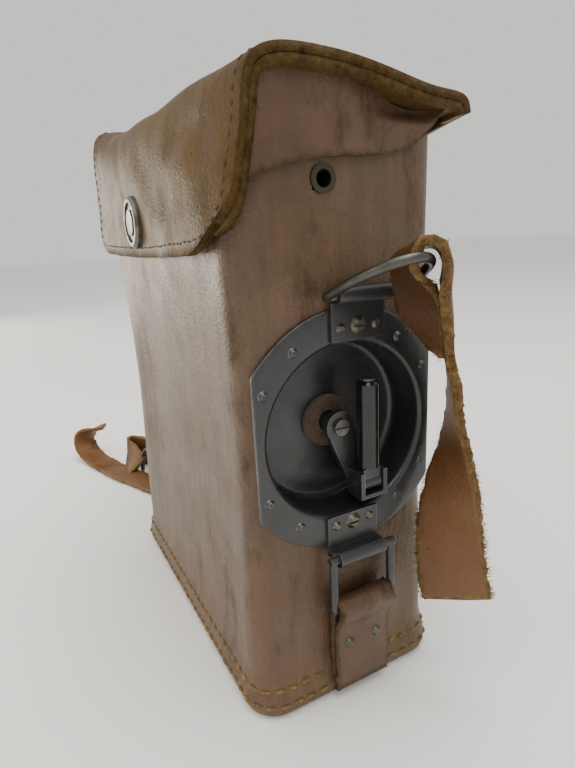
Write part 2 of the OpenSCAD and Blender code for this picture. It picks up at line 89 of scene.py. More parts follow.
# ---------------------------------------------------------------- shader helpers
class Shade:
    """A Principled material built from named nodes."""

    def __init__(self, name):
        self.mat = bpy.data.materials.new(name)
        self.mat.use_nodes = True
        self.tree = self.mat.node_tree
        self.bsdf = self.tree.nodes["Principled BSDF"]
        self.coord = self.tree.nodes.new("ShaderNodeTexCoord").outputs["Object"]

    def put(self, socket, value):
        if isinstance(value, bpy.types.NodeSocket):
            self.tree.links.new(value, socket)
        else:
            socket.default_value = value

    def node(self, kind, out=0, ins=(), **props):
        made = self.tree.nodes.new("ShaderNode" + kind)
        for key, value in props.items():
            setattr(made, key, value)
        for key, value in dict(ins).items():
            self.put(made.inputs[key], value)
        return made.outputs[out]

    def stretch(self, sx, sy, sz):
        return self.node("Mapping", 0, {"Vector": self.coord, "Scale": (sx, sy, sz)})

    def noise(self, scale, detail=4, rough=0.6, vector=None):
        return self.node("TexNoise", 0, {"Vector": vector or self.coord, "Scale": scale, "Detail": detail,
                                         "Roughness": rough})

    def cells(self, scale, vector=None, feature="F1"):
        return self.node("TexVoronoi", 0, {"Vector": vector or self.coord, "Scale": scale}, feature=feature)

    def ramp(self, value, low, high, a=0.0, b=1.0):
        return self.node("MapRange", 0, {"Value": value, "From Min": low, "From Max": high,
                                         "To Min": a, "To Max": b})

    def math(self, op, a, b=0.5):
        return self.node("Math", 0, {0: a, 1: b}, operation=op)

    def mix(self, fac, a, b, how="MIX"):
        colour = [c if isinstance(c, bpy.types.NodeSocket) else (*c, 1) for c in (a, b)]
        return self.node("MixRGB", 0, {"Fac": fac, "Color1": colour[0], "Color2": colour[1]}, blend_type=how)

    def attribute(self, name):
        return self.node("Attribute", "Fac", attribute_name=name)

    def bump(self, height, distance, strength=1.0, normal=None):
        ins = {"Height": height, "Distance": distance, "Strength": strength}
        if normal is not None:
            ins["Normal"] = normal
        return self.node("Bump", 0, ins)

    def finish(self, colour, rough, normal=None, **more):
        base = colour if isinstance(colour, bpy.types.NodeSocket) else (*colour, 1)
        self.put(self.bsdf.inputs["Base Color"], base)
        self.put(self.bsdf.inputs["Roughness"], rough)
        if normal is not None:
            self.put(self.bsdf.inputs["Normal"], normal)
        for key, value in more.items():
            self.put(self.bsdf.inputs[key.replace("_", " ")], value)
        return self.mat


SCUFF_TAN = (0.2, 0.115, 0.05)
BLUSH_RED = (0.115, 0.046, 0.028)
RAW_EDGE = ((0.06, 0.026, 0.007), (0.27, 0.165, 0.05))
DARK_EDGE = ((0.022, 0.011, 0.005), (0.11, 0.068, 0.022))


def leather(name, light, mid, dark, rough=0.5, streak=0.5, grain=1.0, cut=RAW_EDGE,
            gleam=1.0, tint=(0.95, 0.9, 0.8), blush=0.0, darken_above=None):
    """Old smooth leather: mottled, streaked, creased, with tan raw edges where the mesh says "edge"."""
    s = Shade(name)
    blotch = s.ramp(s.noise(14, 5, 0.65), 0.3, 0.7)
    fine = s.ramp(s.noise(70, 6, 0.7), 0.3, 0.7)
    streaks = s.ramp(s.noise(9, 6, 0.72, s.stretch(14, 14, 1.3)), 0.32, 0.7)
    tone = s.mix(blotch, mid, light)
    tone = s.mix(s.math("MULTIPLY", streaks, streak), tone, dark)
    tone = s.mix(s.math("MULTIPLY", fine, 0.35), tone, light)
    tone = s.mix(s.math("MULTIPLY", s.ramp(s.noise(8, 3, 0.6), 0.46, 0.66), blush), tone, BLUSH_RED)
    # darker towards the top: from the given low height to the high one (metres) the tone goes most of the way
    # to dark
    if darken_above:
        above_floor = s.node("SeparateXYZ", "Z", {"Vector": s.coord})
        tone = s.mix(s.ramp(above_floor, *darken_above, 0.0, 0.72), tone, dark)
    specks = s.ramp(s.noise(420, 3, 0.6), 0.62, 0.72)
    tone = s.mix(s.math("MULTIPLY", specks, 0.45), tone, dark)
    scuff = s.math("MULTIPLY", s.ramp(s.noise(38, 8, 0.75), 0.6, 0.68),
                   s.ramp(s.noise(6, 2, 0.5), 0.45, 0.62))
    tone = s.mix(s.math("MULTIPLY", scuff, 0.55), tone, SCUFF_TAN)
    edge_noise = s.ramp(s.noise(160, 6, 0.7), 0.35, 0.65)
    edge = s.math("MULTIPLY", s.attribute("edge"), s.math("ADD", s.math("MULTIPLY", edge_noise, 0.7), 0.45))
    edge = s.math("MINIMUM", edge, 1.0)
    raw = s.mix(s.ramp(s.noise(300, 5, 0.7), 0.3, 0.7), *cut)
    tone = s.mix(edge, tone, raw)
    pores = s.cells(820)
    wrinkle = s.noise(46, 8, 0.65, s.stretch(1.6, 1.6, 0.55))
    height = s.math("ADD", s.math("MULTIPLY", pores, 0.12 * grain), s.math("MULTIPLY", wrinkle, 0.55))
    height = s.math("ADD", height, s.math("MULTIPLY", s.noise(500, 4, 0.6), 0.14 * grain))
    ragged = s.math("MULTIPLY", s.attribute("edge"), edge_noise)
    height = s.math("ADD", height, s.math("MULTIPLY", ragged, 0.5))
    gloss = s.math("ADD", s.ramp(s.noise(30, 6, 0.7), 0.3, 0.7, rough - 0.09, rough + 0.13),
                   s.math("MULTIPLY", edge, 0.3))
    cracked = s.ramp(s.noise(17, 8, 0.72, s.stretch(1.3, 1.3, 0.6)), 0.56, 0.66)
    tone = s.mix(s.math("MULTIPLY", cracked, 0.5), tone, dark)
    shine = s.math("SUBTRACT", s.ramp(s.noise(24, 6, 0.7), 0.3, 0.7, 0.34, 0.66),
                   s.math("MULTIPLY", cracked, 0.3))
    return s.finish(tone, gloss, s.bump(height, 0.0014, 0.85),
                    Specular_IOR_Level=s.math("MULTIPLY", shine, gleam), Specular_Tint=(*tint, 1))


def black_steel(name, colour, wear, rough=0.42, bare=(0.2, 0.2, 0.21)):
    """Worn black paint on steel, rubbed bright at edges, with dull smears."""
    s = Shade(name)
    smear = s.ramp(s.noise(45, 7, 0.7), 0.3, 0.75)
    tone = s.mix(smear, colour, tuple(c * 1.9 + 0.006 for c in colour))
    bevel = s.node("Bevel", 0, {"Radius": 0.0007}, samples=4)
    flat = s.node("NewGeometry", "Normal")
    turn = s.node("VectorMath", "Value", {0: bevel, 1: flat}, operation="DOT_PRODUCT")
    rub = s.ramp(turn, 0.995, 0.93)
    rub = s.math("MULTIPLY", rub, s.ramp(s.noise(240, 5, 0.7), 0.35, 0.6))
    chips = s.ramp(s.noise(170, 8, 0.8), 0.67, 0.7)
    worn = s.math("MULTIPLY", s.math("MAXIMUM", rub, chips), wear)
    tone = s.mix(worn, tone, bare)
    grit = s.noise(650, 4, 0.6)
    height = s.math("ADD", s.math("MULTIPLY", grit, 0.3), s.math("MULTIPLY", s.noise(60, 4, 0.6), 0.7))
    gloss = s.ramp(s.noise(80, 6, 0.75), 0.3, 0.7, rough - 0.1, rough + 0.16)
    return s.finish(tone, gloss, s.bump(height, 0.0004, 0.5), Metallic=s.math("MULTIPLY", worn, 0.9),
                    Specular_IOR_Level=0.6)


def metal(name, colour, dull, rough=0.38, tarnish=0.6):
    """Bare or plated metal gone dull, with stains and fine scratches."""
    s = Shade(name)
    stain = s.math("MULTIPLY", s.ramp(s.noise(120, 7, 0.7), 0.35, 0.68), tarnish)
    tone = s.mix(stain, colour, dull)
    scratch = s.noise(260, 6, 0.6, s.stretch(1, 7, 1))
    gloss = s.ramp(s.noise(190, 6, 0.7), 0.3, 0.7, rough - 0.12, rough + 0.2)
    height = s.math("ADD", s.math("MULTIPLY", scratch, 0.5), s.math("MULTIPLY", s.noise(900, 3, 0.6), 0.4))
    return s.finish(tone, gloss, s.bump(height, 0.0002, 0.5), Metallic=s.ramp(stain, 0, 1, 1.0, 0.65))


def plastic(name, colour, rough=0.2):
    """Moulded plastic with faint haze and handling marks."""
    s = Shade(name)
    haze = s.ramp(s.noise(90, 7, 0.7), 0.35, 0.7)
    tone = s.mix(s.math("MULTIPLY", haze, 0.5), colour, tuple(c * 1.8 + 0.008 for c in colour))
    gloss = s.ramp(s.noise(150, 7, 0.75), 0.35, 0.7, rough, rough + 0.22)
    return s.finish(tone, gloss, s.bump(s.noise(400, 5, 0.6), 0.0002, 0.35))


def felt(name, colour, dark):
    """Matted felt with rusty stains."""
    s = Shade(name)
    tone = s.mix(s.ramp(s.noise(330, 6, 0.75), 0.35, 0.65), colour, dark)
    return s.finish(tone, s.ramp(s.noise(200), 0.3, 0.7, 0.85, 1.0),
                    s.bump(s.noise(1500, 4, 0.7), 0.0008, 0.8), Sheen_Weight=0.3)


def thread(name, colour, dark):
    """Waxed thread with a visible twist."""
    s = Shade(name)
    twist = s.node("TexWave", 1, {"Vector": s.coord, "Scale": 260, "Distortion": 3.0, "Detail": 2})
    tone = s.mix(s.ramp(s.noise(240, 5, 0.7), 0.35, 0.65), colour, dark)
    return s.finish(tone, s.ramp(s.noise(300), 0.3, 0.7, 0.6, 0.85), s.bump(twist, 0.0004, 0.7))


CASE_LEATHER = leather("case leather", (0.13, 0.078, 0.041), (0.077, 0.043, 0.0235), (0.022, 0.0105, 0.006),
                       0.4, 0.6, blush=0.4)
TAB_LEATHER = leather("tab leather", (0.115, 0.062, 0.034), (0.066, 0.034, 0.02), (0.022, 0.011, 0.008),
                      0.45, 0.5, cut=DARK_EDGE, blush=0.2)
COVER_LEATHER = leather("cover leather", (0.12, 0.07, 0.023), (0.058, 0.03, 0.01), (0.017, 0.008, 0.004),
                        0.45, 0.6, cut=DARK_EDGE, gleam=0.4, tint=(0.5, 0.44, 0.31))
# the strap leather is darker towards its top, above about 135 mm
STRAP_LEATHER = leather("strap leather", (0.17, 0.07, 0.02), (0.11, 0.042, 0.011), (0.03, 0.012, 0.005),
                        0.5, 0.4, darken_above=(0.135, 0.175))
FLESH_LEATHER = leather("strap flesh side", (0.3, 0.19, 0.05), (0.2, 0.115, 0.028), (0.07, 0.035, 0.01),
                        0.9, 0.2, 2.0)
BLACK_STEEL = black_steel("black steel", (0.011, 0.0115, 0.012), 1.0, 0.3)
HOOK_STEEL = black_steel("black wire", (0.012, 0.012, 0.013), 0.5, 0.3)
PLATED = metal("dull plated steel", (0.2, 0.19, 0.17), (0.03, 0.03, 0.024), 0.36, 0.85)
RING_STEEL = metal("ring steel", (0.11, 0.11, 0.1), (0.028, 0.028, 0.022), 0.36)
BRIGHT = metal("bright steel", (0.55, 0.55, 0.54), (0.3, 0.29, 0.27), 0.32)
BRASS = metal("old brass", (0.36, 0.27, 0.11), (0.1, 0.1, 0.055), 0.4)
EYELET_BRASS = metal("blackened eyelet", (0.075, 0.07, 0.04), (0.02, 0.024, 0.016), 0.42)
CAST = black_steel("magnet steel", (0.05, 0.05, 0.052), 0.4, 0.55)
GRIP = plastic("black grip", (0.004, 0.0045, 0.005), 0.08)
HANDSET = plastic("handset black", (0.012, 0.012, 0.013), 0.3)
FELT = felt("rusty felt", (0.1, 0.045, 0.022), (0.035, 0.018, 0.012))
COIL = plastic("varnished winding", (0.14, 0.03, 0.02), 0.35)
SLEEVE = plastic("cell sleeve", (0.05, 0.09, 0.16), 0.55)
CAN = metal("grey can", (0.3, 0.31, 0.32), (0.18, 0.18, 0.17), 0.45, 0.4)
THREAD = thread("golden thread", (0.24, 0.155, 0.05), (0.075, 0.042, 0.014))
DARK_THREAD = thread("brown thread", (0.085, 0.05, 0.024), (0.025, 0.013, 0.007))


# ---------------------------------------------------------------- mesh helpers
def smooth(points, step=2.0, closed=False):
    """A Catmull-Rom line through points, resampled about every step; extra columns are carried along."""
    pts = np.array(points, float)
    n = len(pts)
    out = []
    for i in range(n if closed else n - 1):
        if closed:
            p0, p1, p2, p3 = (pts[(i + k) % n] for k in (-1, 0, 1, 2))
        else:
            p0, p1, p2, p3 = pts[max(i - 1, 0)], pts[i], pts[i + 1], pts[min(i + 2, n - 1)]
        count = max(2, int(np.linalg.norm((p2 - p1)[:3]) / step))
        for t in np.arange(count) / count:
            out.append(0.5 * (2 * p1 + (p2 - p0) * t + (2 * p0 - 5 * p1 + 4 * p2 - p3) * t * t
                              + (3 * p1 - p0 - 3 * p2 + p3) * t ** 3))
    if not closed:
        out.append(pts[-1])
    return np.array(out)


def make(name, verts, faces, material, edge=None, flat=False):
    """A mesh object; edge is how far each vertex is cut or worn leather, 0 to 1."""
    mesh = bpy.data.meshes.new(name)
    mesh.from_pydata([tuple(v) for v in np.asarray(verts, float) * MM], [], [tuple(f) for f in faces])
    mesh.update()
    mesh.materials.append(material)
    values = np.zeros(len(verts)) if edge is None else np.asarray(edge, float)
    layer = mesh.attributes.new("edge", "FLOAT", "POINT")
    layer.data.foreach_set("value", values.astype(np.float32))
    mesh.shade_flat() if flat else mesh.shade_smooth()
    piece = bpy.data.objects.new(name, mesh)
    bpy.context.scene.collection.objects.link(piece)
    return piece


def grid_faces(rows, cols, wrap=False, start=0):
    """Quads over a rows x cols grid of vertices; wrap closes the columns into a loop."""
    last = cols if wrap else cols - 1
    return [(start + i * cols + j, start + i * cols + (j + 1) % cols, start + (i + 1) * cols + (j + 1) % cols,
             start + (i + 1) * cols + j) for i in range(rows - 1) for j in range(last)]


def normals_of(grid):
    """Unit normals of a rows x cols x 3 grid, by central differences."""
    a = np.gradient(grid, axis=0)
    b = np.gradient(grid, axis=1)
    n = np.cross(a, b)
    return n / np.maximum(np.linalg.norm(n, axis=2, keepdims=True), 1e-9)


def wobble(points, size, length, seed=0):
    """A smooth made-up unevenness: a few crossed sine waves, the same for the same place."""
    p = np.asarray(points, float)
    r = np.random.default_rng(seed)
    total = np.zeros(p.shape[:-1])
    for _ in range(7):
        direction = r.normal(size=3)
        direction *= 2 * math.pi / (length * r.uniform(0.6, 1.8) * np.linalg.norm(direction))
        total += np.sin(p @ direction + r.uniform(0, 6.28))
    return size * total / 2.6


def frames_along(line, closed=False):
    """Tangent, side and up vectors along a line, carried without twist."""
    n = len(line)
    if closed:
        tangent = np.roll(line, -1, 0) - np.roll(line, 1, 0)
    else:
        tangent = np.gradient(line, axis=0)
    tangent /= np.linalg.norm(tangent, axis=1, keepdims=True)
    side = np.cross(tangent[0], [0.3, 0.2, 1.0])
    sides = []
    for t in tangent:
        side = side - (side @ t) * t
        side /= np.linalg.norm(side)
        sides.append(side)
    sides = np.array(sides)
    if closed:  # spread what the loop leaves over all of it
        first = sides[0] - (sides[0] @ tangent[-1]) * tangent[-1]
        gap = math.atan2(np.cross(sides[-1], first) @ tangent[-1], sides[-1] @ first)
        for i in range(n):
            a = gap * i / n
            sides[i] = sides[i] * math.cos(a) + np.cross(tangent[i], sides[i]) * math.sin(a)
    return tangent, sides, np.cross(tangent, sides)


def wire(name, points, radius, material, closed=False, step=1.2, sides=14):
    """Round wire along a smooth line through points."""
    line = smooth(points, step, closed)
    _, a, b = frames_along(line, closed)
    turn = np.linspace(0, 2 * math.pi, sides, endpoint=False)
    around = a[:, None] * np.cos(turn)[None, :, None] + b[:, None] * np.sin(turn)[None, :, None]
    ring = line[:, None] + radius * around
    verts = ring.reshape(-1, 3)
    faces = grid_faces(len(line), sides, True)
    if closed:
        base = (len(line) - 1) * sides
        faces += [(base + j, base + (j + 1) % sides, (j + 1) % sides, j) for j in range(sides)]
    else:
        faces += [tuple(range(sides))[::-1], tuple(range(len(verts) - sides, len(verts)))]
    return make(name, verts, faces, material)


def lathe_x(name, profile, centre, material, sides=64):
    """A turned piece about a line along X; profile is (x, r) from one end to the other."""
    prof = np.array(profile, float)
    turn = np.linspace(0, 2 * math.pi, sides, endpoint=False)
    verts = [(x, centre[0] + r * math.cos(t), centre[1] + r * math.sin(t)) for x, r in prof for t in turn]
    return make(name, verts, grid_faces(len(prof), sides, True), material)


def strap(name, path, width, thick, material, edge_share=1.0, wave=0.25, seed=1, step=2.0):
    """A leather strap with rough tan cut edges.

    Path rows are x, y, z, way, width factor. The way is the direction across the strap, as degrees about Z
    or as a vector.
    """
    rows = [(x, y, z, *(way if hasattr(way, "__len__") else
                        (math.cos(math.radians(way)), math.sin(math.radians(way)), 0)), factor)
            for x, y, z, way, factor in path]
    line = smooth(rows, step)
    centre, across, factor = line[:, :3], line[:, 3:6], line[:, 6]
    tangent = np.gradient(centre, axis=0)
    tangent /= np.linalg.norm(tangent, axis=1, keepdims=True)
    across -= (across * tangent).sum(1)[:, None] * tangent
    across /= np.linalg.norm(across, axis=1, keepdims=True)
    up = np.cross(tangent, across)
    half_w, half_t = width / 2, thick / 2
    u = np.linspace(-1, 1, 15)
    top = [(half_w * a, half_t * (1 - 0.12 * a * a)) for a in u]
    section = np.array(top + [(half_w + 0.25, 0.0)] + [(x, -y) for x, y in top[::-1]]
                       + [(-half_w - 0.25, 0.0)])
    rim = np.abs(section[:, 0]) / half_w
    n = len(section)
    grid = (centre[:, None] + across[:, None] * section[:, 0][None, :, None] * factor[:, None, None]
            + up[:, None] * section[:, 1][None, :, None])
    bend = wobble(grid, wave, 26, seed)
    grid = grid + up[:, None] * bend[:, :, None]
    rough = np.where(rim > 0.97, 1.0, 0.0)[None, :, None]
    jitter = np.random.default_rng(seed).normal(size=grid.shape) * 0.28
    grid = grid + jitter * rough
    edge = np.tile(np.clip((rim - 0.86) / 0.1, 0, 1) * edge_share, (len(centre), 1))
    ends = np.minimum(np.arange(len(centre)), np.arange(len(centre))[::-1])
    edge = np.maximum(edge, (ends < 2)[:, None] * edge_share)
    verts = grid.reshape(-1, 3)
    faces = grid_faces(len(centre), n, True)
    faces += [tuple(range(n))[::-1], tuple(range(len(verts) - n, len(verts)))]
    piece = make(name, verts, faces, material, edge.reshape(-1))
    left = centre - across * (half_w * factor)[:, None]
    right = centre + across * (half_w * factor)[:, None]
    return piece, left, right, across, up


def fuzz(name, lines, count, length, material, seed=3, spread=1.4):
    """Torn fibres off cut leather edges, as short tapering needles. lines is a list of (points, outward)."""
    r = np.random.default_rng(seed)
    verts, faces = [], []
    for points, outward in lines:
        for _ in range(count):
            i = r.integers(0, len(points))
            root = points[i] + r.normal(size=3) * spread * 0.5
            way = outward[i] + r.normal(size=3) * 0.8
            way /= np.linalg.norm(way)
            tip = root + way * length * r.uniform(0.3, 1.0) + r.normal(size=3) * 0.3
            side = np.cross(way, r.normal(size=3))
            side /= np.linalg.norm(side)
            other = np.cross(way, side)
            base = len(verts)
            for k in range(3):
                a = 2.094 * k
                verts.append(root - way * 0.5 + 0.16 * (side * math.cos(a) + other * math.sin(a)))
            verts.append(tip)
            faces += [(base, base + 1, base + 3), (base + 1, base + 2, base + 3), (base + 2, base, base + 3),
                      (base + 2, base + 1, base)]
    return make(name, verts, faces, material, np.ones(len(verts)), flat=True)


def stitches(name, line, normal, gap, length, radius, material=THREAD, seed=5, sink=0.35):
    """Sewn thread along a line: one plump stitch per gap, slightly askew, half sunk in the leather."""
    r = np.random.default_rng(seed)
    line, normal = np.array(line, float), np.array(normal, float)
    run = np.concatenate([[0], np.cumsum(np.linalg.norm(np.diff(line, axis=0), axis=1))])
    marks = np.arange(gap / 2, run[-1], gap)
    rings, around = 7, 8
    verts, faces = [], []
    for mark in marks:
        c = np.array([np.interp(mark, run, line[:, k]) for k in range(3)])
        up = np.array([np.interp(mark, run, normal[:, k]) for k in range(3)])
        up /= np.linalg.norm(up)
        a = np.array([np.interp(mark + 0.5, run, line[:, k]) - np.interp(mark - 0.5, run, line[:, k])
                      for k in range(3)])
        a -= (a @ up) * up
        a /= max(np.linalg.norm(a), 1e-6)
        side = np.cross(up, a)
        a = a + side * r.normal() * 0.09
        c = c + side * r.normal() * 0.14
        fat = radius * r.uniform(0.85, 1.12)
        base = len(verts)
        for i in range(rings):
            t = -1 + 2 * i / (rings - 1)
            w = fat * max(0.12, math.sqrt(max(0.0, 1 - abs(t) ** 2.6)))
            lift = fat * (sink - 0.55 * t * t)
            for j in range(around):
                q = 2 * math.pi * j / around
                verts.append(c + a * t * length / 2 + up * (lift + w * math.sin(q)) + side * w * math.cos(q))
        faces += grid_faces(rings, around, True, base)
        faces += [tuple(base + j for j in range(around))[::-1],
                  tuple(base + (rings - 1) * around + j for j in range(around))]
    return make(name, verts, faces, material)


# ---------------------------------------------------------------- case leather
def case_outline(z, count):
    """The case's outline at a height: x, y and outward normal, starting at the middle of the crank side."""
    z = np.asarray(z, float)
    mid = np.exp(-((z - 118) / 62) ** 2)
    half_d = HALF_D - 2.6 * mid
    half_w = HALF_W
    straight_d, straight_w = half_d - CORNER_R, half_w - CORNER_R
    quarter = math.pi * CORNER_R / 2
    total = 4 * (straight_d + straight_w + quarter)
    s = (np.arange(count) / count) * total
    pts, nrm = [], []
    marks = [("line", (half_w, 0), (0, 1), straight_d, (1, 0)),
             ("arc", (straight_w, straight_d), 0),
             ("line", (straight_w, half_d), (-1, 0), 2 * straight_w, (0, 1)),
             ("arc", (-straight_w, straight_d), 90),
             ("line", (-half_w, straight_d), (0, -1), 2 * straight_d, (-1, 0)),
             ("arc", (-straight_w, -straight_d), 180),
             ("line", (-straight_w, -half_d), (1, 0), 2 * straight_w, (0, -1)),
             ("arc", (straight_w, -straight_d), 270),
             ("line", (half_w, -straight_d), (0, 1), straight_d, (1, 0))]
    lengths = [m[3] if m[0] == "line" else quarter for m in marks]
    starts = np.concatenate([[0], np.cumsum(lengths)])
    for value in s:
        k = min(int(np.searchsorted(starts, value, side="right")) - 1, len(marks) - 1)
        along = value - starts[k]
        m = marks[k]
        if m[0] == "line":
            pts.append((m[1][0] + m[2][0] * along, m[1][1] + m[2][1] * along))
            nrm.append(m[4])
        else:
            a = math.radians(m[2]) + along / CORNER_R
            pts.append((m[1][0] + CORNER_R * math.cos(a), m[1][1] + CORNER_R * math.sin(a)))
            nrm.append((math.cos(a), math.sin(a)))
    return np.array(pts), np.array(nrm)


def bulge(points):
    """How far the leather's face stands out of its plain outline, along its normal."""
    x, y, z = points[..., 0], points[..., 1], points[..., 2]
    middle = np.clip((z - 14) / 40, 0, 1) * np.clip((186 - z) / 40, 0, 1)
    front = (y < -30) * np.clip((74 - np.abs(x)) / 20, 0, 1)
    dent = front * middle * (1.6 + 2.2 * np.exp(-((x + 58) / 34) ** 2 - ((z - 128) / 50) ** 2))
    back = (y > 30) * np.clip((74 - np.abs(x)) / 20, 0, 1) * middle * -0.6
    far = (x < -80) * middle * np.clip((34 - np.abs(y)) / 14, 0, 1) * 0.7
    soft = wobble(points, 0.35, 48, 11) * (np.abs(y) > 20) * np.clip((75 - np.abs(x)) / 10, 0, 1)
    return -dent - back - far + soft * middle


def slump(points):
    """The front wall sags inward under the cover at the crank end."""
    x, y, z = points.T
    return (4.4 * np.clip((x - 42) / 36, 0, 1) ** 1.2 * np.clip((z - 208) / 20, 0, 1)
            * np.clip((-18 - y) / 24, 0, 1))


AROUND = 210
strip_z = STRIP_TOP + 3.5
levels = [(0.0, -2.6), (0.15, -1.2), (0.7, 0.6), (1.6, 1.7), (3, 2.3), (5, 2.5), (7, 2.45), (STRIP_TOP, 2.1),
          (STRIP_TOP + 2, 1.3), (strip_z, 0.9), (strip_z + 3, 0.8), (strip_z + 5, 0.35), (strip_z + 7, 0.0)]
levels += [(z, 0.0) for z in np.arange(strip_z + 9.5, WALL_TOP - 2, 2.6)]
levels += [(WALL_TOP - 1.2, 0), (WALL_TOP - 0.3, -0.35), (WALL_TOP, -1.2), (WALL_TOP - 0.1, -2.2),
           (WALL_TOP - 1, -2.9), (WALL_TOP - 6, -3.0)]
levels += [(z, -3.0) for z in np.arange(WALL_TOP - 14, DECK_TOP - 6, -8.0)]
rows = []
for z, off in levels:
    outline, out = case_outline(z, AROUND)
    row = np.column_stack([outline + out * off, np.full(AROUND, z)])
    push = bulge(row) if off > -1.0 else np.zeros(AROUND)
    row[:, :2] += out * push[:, None]
    row[:, 1] += slump(row)
    rows.append(row)
case = np.array(rows)


def snap_ring(grid, y, z, radius, band):
    """Pulls vertices of the crank side near a circle onto it, so that a hole has a clean rim."""
    on_side = grid[..., 0] > HALF_W - 4
    dy, dz = grid[..., 1] - y, grid[..., 2] - z
    dist = np.hypot(dy, dz)
    near = on_side & (dist < radius + band) & (dist > radius - band)
    scale = np.where(near, radius / np.maximum(dist, 1e-6), 1)
    grid[..., 1] = np.where(near, y + dy * scale, grid[..., 1])
    grid[..., 2] = np.where(near, z + dz * scale, grid[..., 2])


holes = [(0, CRANK_Z, WELL_R + 2.4, 1.7), (EYELET[1], EYELET[2], EYELET_HOLE_R, 1.4)]
for hy, hz, hr, band in holes:
    snap_ring(case, hy, hz, hr, band)
faces = []
for f in grid_faces(len(case), AROUND, True):
    pick = [divmod(i, AROUND) for i in f]
    centre = np.mean([case[i, j] for i, j in pick], axis=0)
    in_hole = any(math.hypot(centre[1] - hy, centre[2] - hz) < hr - 0.1 for hy, hz, hr, _ in holes)
    if centre[0] > HALF_W - 4 and in_hole:
        continue
    faces.append(f)
verts = case.reshape(-1, 3)
faces.append(tuple(range(AROUND))[::-1])
rim_wear = np.exp(-((verts[:, 2] - WALL_TOP) / 2.5) ** 2)
low_wear = (np.clip((10 - verts[:, 2]) / 9, 0, 1) * 0.55
            + 0.35 * np.exp(-((verts[:, 2] - strip_z - 1) / 3) ** 2))
case_piece = make("case_leather", verts, faces, CASE_LEATHER, np.clip(rim_wear + low_wear, 0, 1))
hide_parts("case_shell", "case_base", "base_strip")
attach(case_piece, "case")


def case_row(z, off):
    """A fine line round the case at a height, off from its outline, with outward normals."""
    outline, out = case_outline(z, 420)
    line = np.column_stack([outline + out * off, np.full(420, z)])
    return line, np.column_stack([out, np.zeros(420)])


for index, (z, off) in enumerate([(6.3, 2.45), (strip_z + 0.6, 0.95)]):
    line, out = case_row(z, off)
    under_tab = (line[:, 1] > TAB_LOW[1] - 1) & (line[:, 1] < TAB_HIGH[1] + 1)
    keep = ~((np.abs(line[:, 0]) > HALF_W - 3) & under_tab)
    start = int(np.argmax(~keep))
    order = np.roll(np.arange(len(line)), -start)
    runs, current = [], []
    for i in order:
        if keep[i]:
            current.append(i)
        elif current:
            runs.append(current)
            current = []
    if current:
        runs.append(current)
    for k, run in enumerate(runs):
        row = stitches(f"base_stitches_{index}_{k}", line[run], out[run], 6.2, 5.0, 0.85, seed=20 + index)
        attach(row, "case")


# ---------------------------------------------------------------- cover
# Y and Z over the cover from the front edge to the back edge: at the crank end, the far end and the middle
RIGHT_PROFILE = [(-48.6, 203), (-45.2, 211.5), (-42.8, 222.5), (-40.2, 236), (-38.6, 244), (-35.4, 250),
                 (-29.5, 253.2), (-21, 254), (-8, 252.6), (12, 249.2), (32, 246.2), (46.5, 244.6),
                 (51.6, 242), (53, 237.5)]
LEFT_PROFILE = [(-50.2, 196), (-50.3, 208), (-50.1, 222), (-49.7, 238), (-48.8, 250), (-46, 257),
                (-39.5, 260.3), (-27, 259), (-10, 255.4), (12, 251), (32, 247.2), (46.5, 244.4),
                (50.8, 238.5), (49.6, 226)]
MID_PROFILE = [(-52.2, 190.6), (-52.5, 203), (-52.4, 218), (-51.8, 232), (-50, 241.5), (-46, 247.4),
               (-39, 249.6), (-26, 249.2), (-8, 247.6), (12, 245.8), (32, 244.2), (44.5, 242.6),
               (49.6, 236.5), (49.2, 226)]
right_line, left_line, mid_line = (smooth([(0, y, z) for y, z in rows], 1.6)
                                   for rows in (RIGHT_PROFILE, LEFT_PROFILE, MID_PROFILE))
PROFILE_ROWS = 92


def even(line, count):
    """The same line with count points at equal steps."""
    run = np.concatenate([[0], np.cumsum(np.linalg.norm(np.diff(line, axis=0), axis=1))])
    t = np.linspace(0, run[-1], count)
    return np.column_stack([np.interp(t, run, line[:, k]) for k in range(line.shape[1])])


right_line, left_line, mid_line = (even(line, PROFILE_ROWS) for line in (right_line, left_line, mid_line))
FRONT_CORNER_R, FAR_CORNER_R = 17.0, 8.0  # the flap's lower corners, crank end and far end
COVER_RUN = 176.0  # the longest run over the cover, front edge to back edge, at the far end


def profile_at(line, k):
    """Y and Z on a profile line at the fractional rows k."""
    return np.column_stack([np.interp(k, np.arange(PROFILE_ROWS), line[:, c]) for c in (1, 2)])


